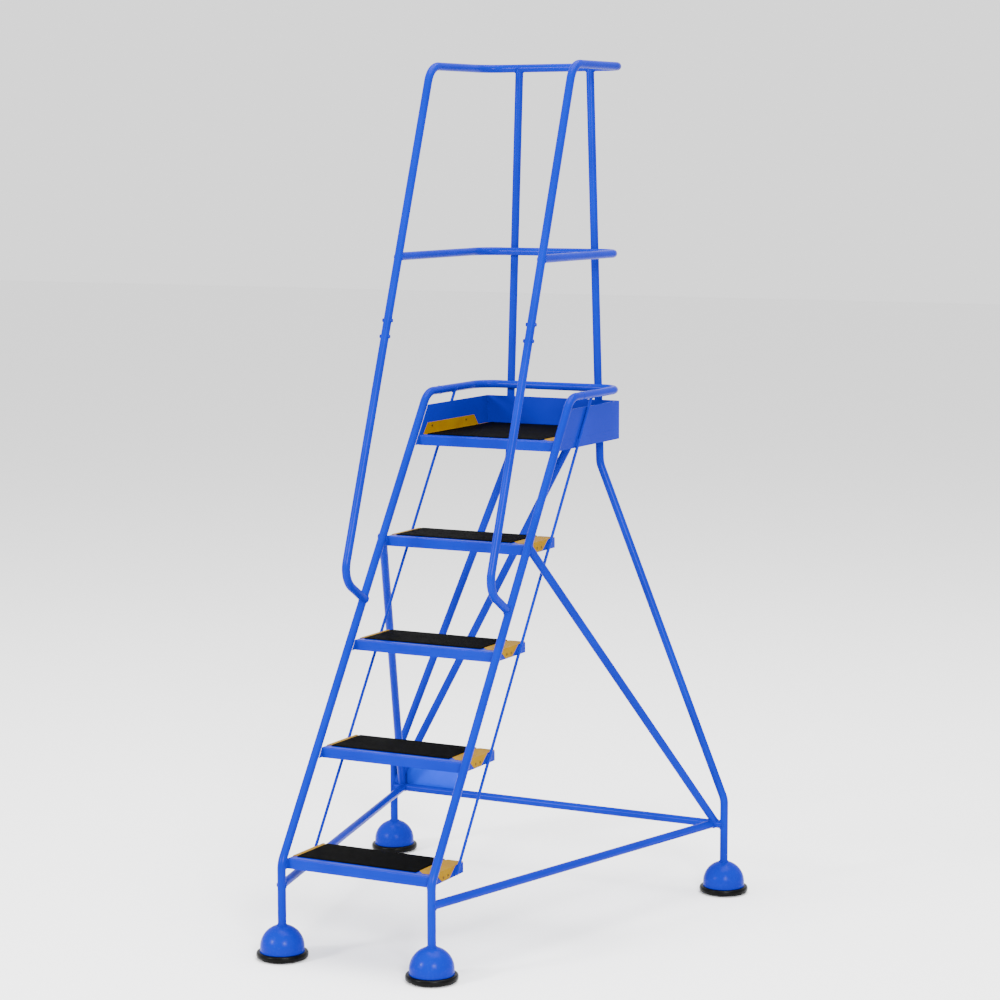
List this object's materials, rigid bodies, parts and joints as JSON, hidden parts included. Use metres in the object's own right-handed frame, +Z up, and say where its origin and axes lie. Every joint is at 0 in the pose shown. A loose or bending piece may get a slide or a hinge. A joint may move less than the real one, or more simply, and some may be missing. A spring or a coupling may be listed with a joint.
{
  "type": "mobile warehouse steps",
  "caption": "Welded tube access steps with open treads, a railed platform and domed feet that hide sprung swivel castors which retract under load.",
  "frame": {"origin": "on the floor in the middle of the base", "axes": "+Z up, +Y from the climbing side to the back, +X to the climber's right"},
  "size_m": [1.176, 1.233, 2.2612],
  "materials": {
    "frame_paint": "gloss powder coat",
    "mat_rubber": "ribbed matte",
    "guard_yellow": "satin paint",
    "rivet_paint": "satin",
    "ring_rubber": "moulded satin",
    "zinc_steel": "zinc plated",
    "spring_steel": "oiled",
    "nylon": "satin",
    "wheel_polymer": "satin"
  },
  "bodies": {
    "frame": {"left_stile": "frame_paint", "right_stile": "frame_paint", "hoop_rail": "frame_paint", "left_handrail_foot": "frame_paint", "right_handrail_foot": "frame_paint", "handrail_loop": "frame_paint", "handrail_sleeves": "zinc_steel", "handrail_bolts": "zinc_steel", "mid_rail": "frame_paint", "left_rear_leg": "frame_paint", "right_rear_leg": "frame_paint", "left_side_brace": "frame_paint", "right_side_brace": "frame_paint", "rear_diagonal_brace": "frame_paint", "left_base_rail": "frame_paint", "right_base_rail": "frame_paint", "rear_cross_rail": "frame_paint", "left_tie_rod": "frame_paint", "right_tie_rod": "frame_paint", "tread_1": "frame_paint", "tread_2": "frame_paint", "tread_3": "frame_paint", "tread_4": "frame_paint", "tread_mat_1": "mat_rubber", "tread_mat_2": "mat_rubber", "tread_mat_3": "mat_rubber", "tread_mat_4": "mat_rubber", "tread_guards_left": "guard_yellow", "tread_guards_right": "guard_yellow", "platform_pan": "frame_paint", "toe_board": "frame_paint", "platform_mat": "mat_rubber", "platform_guards": "guard_yellow", "rivets": "rivet_paint", "sign_plate": "frame_paint", "foot_domes": "frame_paint", "floor_rings": "ring_rubber", "guide_bushes": "nylon", "spring_stops": "zinc_steel", "fl_spring": "spring_steel", "fr_spring": "spring_steel", "rl_spring": "spring_steel", "rr_spring": "spring_steel"},
    "front_left_stem": {"fl_spindle": "zinc_steel"},
    "front_left_castor": {"fl_fork": "zinc_steel", "fl_axle": "zinc_steel"},
    "front_left_wheel": {"fl_wheel": "wheel_polymer"},
    "front_right_stem": {"fr_spindle": "zinc_steel"},
    "front_right_castor": {"fr_fork": "zinc_steel", "fr_axle": "zinc_steel"},
    "front_right_wheel": {"fr_wheel": "wheel_polymer"},
    "rear_left_stem": {"rl_spindle": "zinc_steel"},
    "rear_left_castor": {"rl_fork": "zinc_steel", "rl_axle": "zinc_steel"},
    "rear_left_wheel": {"rl_wheel": "wheel_polymer"},
    "rear_right_stem": {"rr_spindle": "zinc_steel"},
    "rear_right_castor": {"rr_fork": "zinc_steel", "rr_axle": "zinc_steel"},
    "rear_right_wheel": {"rr_wheel": "wheel_polymer"}
  },
  "joints": [
    {"name": "front_left_lift", "type": "slide", "parent": "frame", "child": "front_left_stem", "axis": [0, 0, 1], "range_m": [0, 0.005], "stiffness_N_per_m": 5000, "springref_m": -0.03, "deforming": ["fl_spring"]},
    {"name": "front_left_swivel", "type": "hinge", "parent": "front_left_stem", "child": "front_left_castor", "pos_m": [-0.216, -0.55, 0.0555], "axis": [0, 0, 1], "continuous": true},
    {"name": "front_left_roll", "type": "hinge", "parent": "front_left_castor", "child": "front_left_wheel", "pos_m": [-0.216, -0.532, 0.025], "axis": [1, 0, 0], "continuous": true},
    {"name": "front_right_lift", "type": "slide", "parent": "frame", "child": "front_right_stem", "axis": [0, 0, 1], "range_m": [0, 0.005], "stiffness_N_per_m": 5000, "springref_m": -0.03, "deforming": ["fr_spring"]},
    {"name": "front_right_swivel", "type": "hinge", "parent": "front_right_stem", "child": "front_right_castor", "pos_m": [0.216, -0.55, 0.0555], "axis": [0, 0, 1], "continuous": true},
    {"name": "front_right_roll", "type": "hinge", "parent": "front_right_castor", "child": "front_right_wheel", "pos_m": [0.216, -0.532, 0.025], "axis": [1, 0, 0], "continuous": true},
    {"name": "rear_left_lift", "type": "slide", "parent": "frame", "child": "rear_left_stem", "axis": [0, 0, 1], "range_m": [0, 0.005], "stiffness_N_per_m": 5000, "springref_m": -0.03, "deforming": ["rl_spring"]},
    {"name": "rear_left_swivel", "type": "hinge", "parent": "rear_left_stem", "child": "rear_left_castor", "pos_m": [-0.5215, 0.55, 0.0555], "axis": [0, 0, 1], "continuous": true},
    {"name": "rear_left_roll", "type": "hinge", "parent": "rear_left_castor", "child": "rear_left_wheel", "pos_m": [-0.5215, 0.568, 0.025], "axis": [1, 0, 0], "continuous": true},
    {"name": "rear_right_lift", "type": "slide", "parent": "frame", "child": "rear_right_stem", "axis": [0, 0, 1], "range_m": [0, 0.005], "stiffness_N_per_m": 5000, "springref_m": -0.03, "deforming": ["rr_spring"]},
    {"name": "rear_right_swivel", "type": "hinge", "parent": "rear_right_stem", "child": "rear_right_castor", "pos_m": [0.5215, 0.55, 0.0555], "axis": [0, 0, 1], "continuous": true},
    {"name": "rear_right_roll", "type": "hinge", "parent": "rear_right_castor", "child": "rear_right_wheel", "pos_m": [0.5215, 0.568, 0.025], "axis": [1, 0, 0], "continuous": true}
  ]
}
